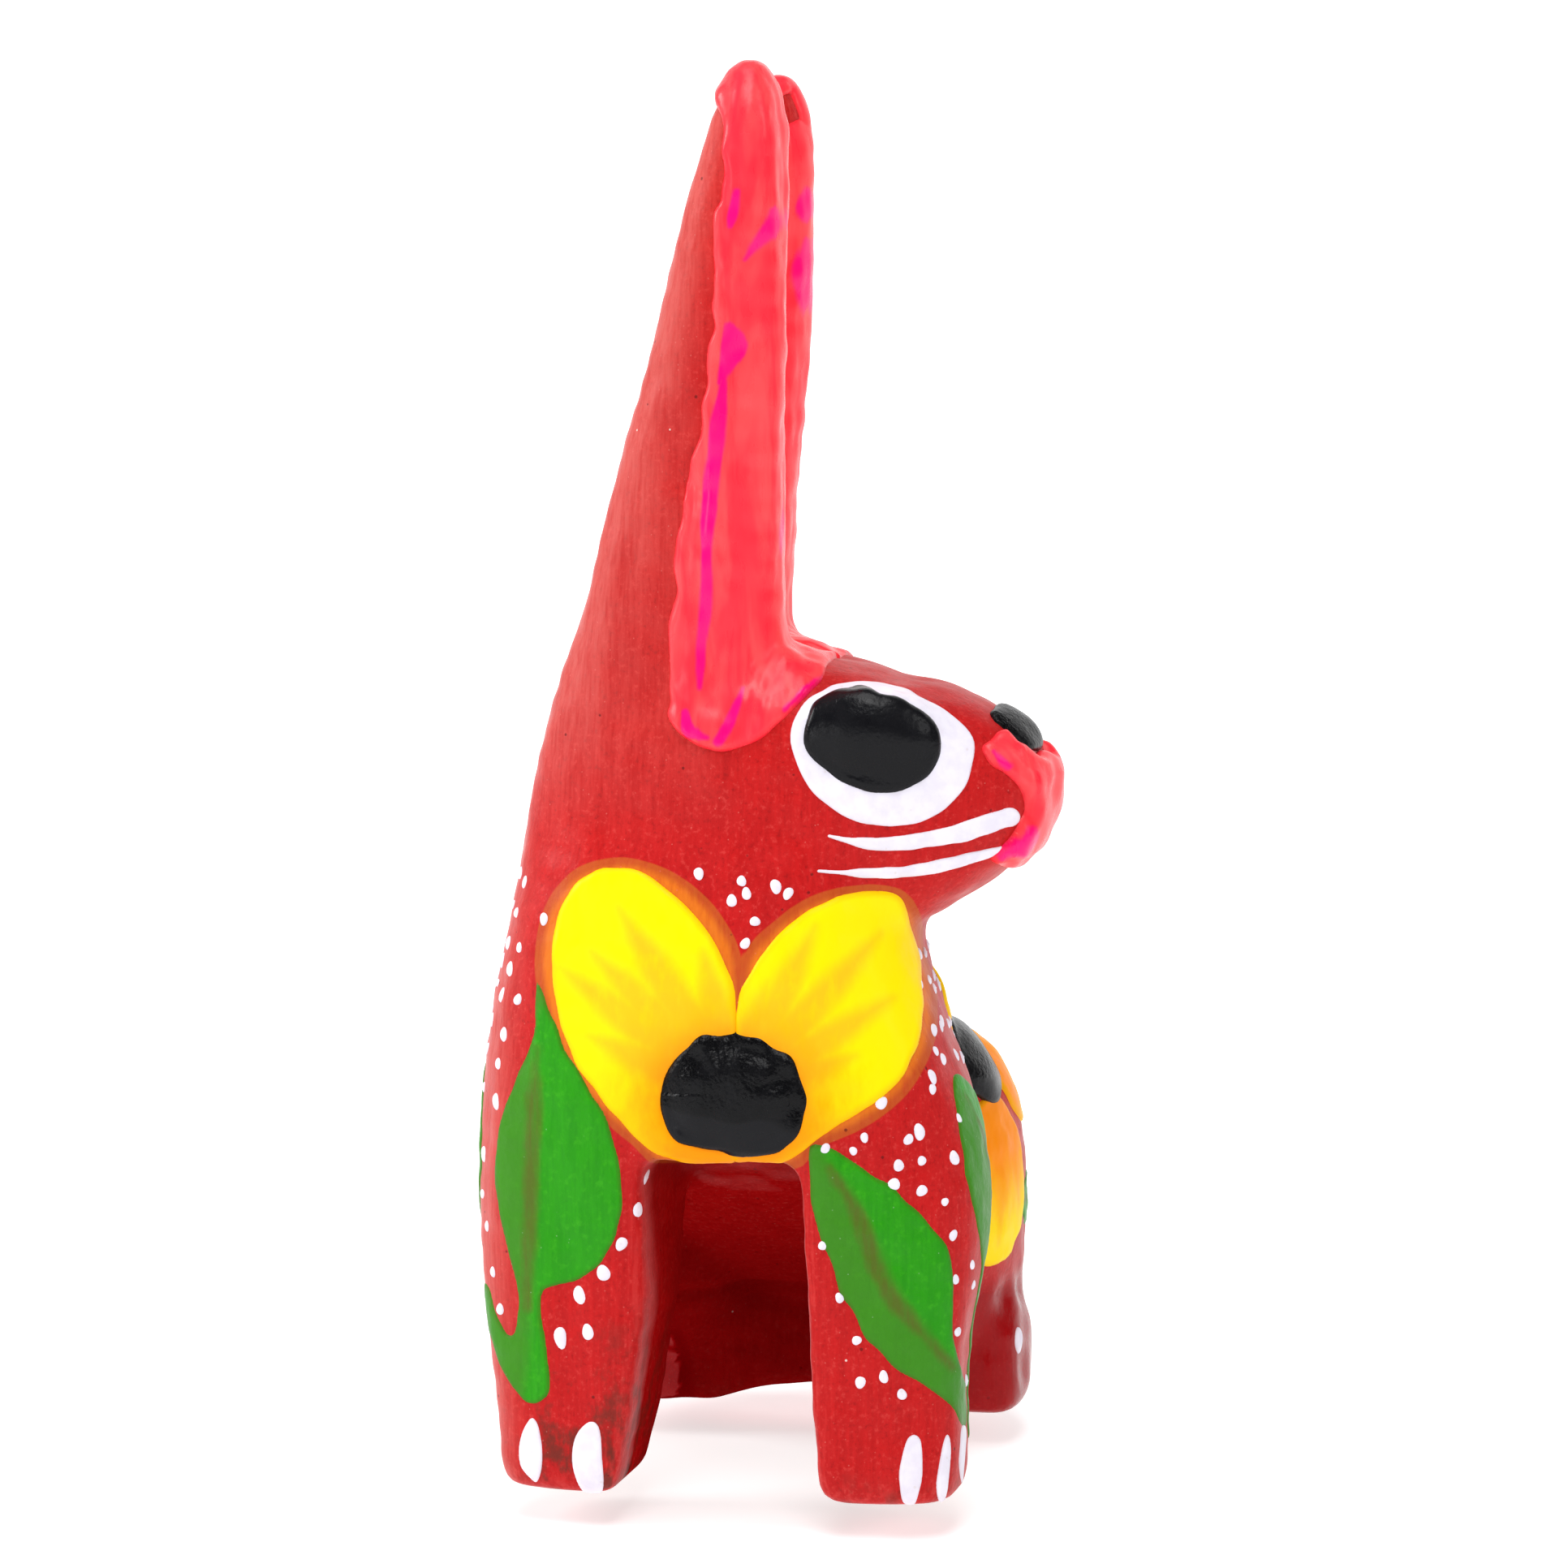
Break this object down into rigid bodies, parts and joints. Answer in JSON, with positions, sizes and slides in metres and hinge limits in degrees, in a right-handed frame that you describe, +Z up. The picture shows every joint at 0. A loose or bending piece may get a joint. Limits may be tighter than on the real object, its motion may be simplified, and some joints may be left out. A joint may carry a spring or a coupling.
{
  "type": "alebrije figure",
  "caption": "Carved and painted wooden rabbit sitting upright, head turned over one shoulder, long upright ears, flower on the chest; stands on four flat soles.",
  "frame": {"origin": "on the ground, under the middle of the figure's bounding box", "axes": "+Z up along the ears; the chest faces -Y; the muzzle points along +X, so +X is the animal's left"},
  "size_m": [0.0474, 0.064, 0.115],
  "materials": {
    "red_painted_wood": "satin red acrylic paint brushed over sanded wood",
    "pink_paint": "thick glossy pink paint, dried in ridges",
    "black_paint": "thick black paint, finely wrinkled, satin",
    "bare_wood": "unpainted"
  },
  "bodies": {
    "root": {"torso": "red_painted_wood", "right_hind_leg": "red_painted_wood", "left_hind_leg": "red_painted_wood", "head": "red_painted_wood", "right_ear": "red_painted_wood", "left_ear": "red_painted_wood", "tail": "red_painted_wood", "right_ear_lining": "pink_paint", "left_ear_lining": "pink_paint", "lips": "pink_paint", "right_pupil": "black_paint", "left_pupil": "black_paint", "nose_pad": "black_paint", "chest_flower_centre": "black_paint", "right_flank_flower_centre": "black_paint", "left_flank_flower_centre": "black_paint", "neck_dowel": "bare_wood", "right_ear_peg": "bare_wood", "left_ear_peg": "bare_wood", "right_hip_peg": "bare_wood", "left_hip_peg": "bare_wood", "tail_peg": "bare_wood"}
  },
  "joints": []
}
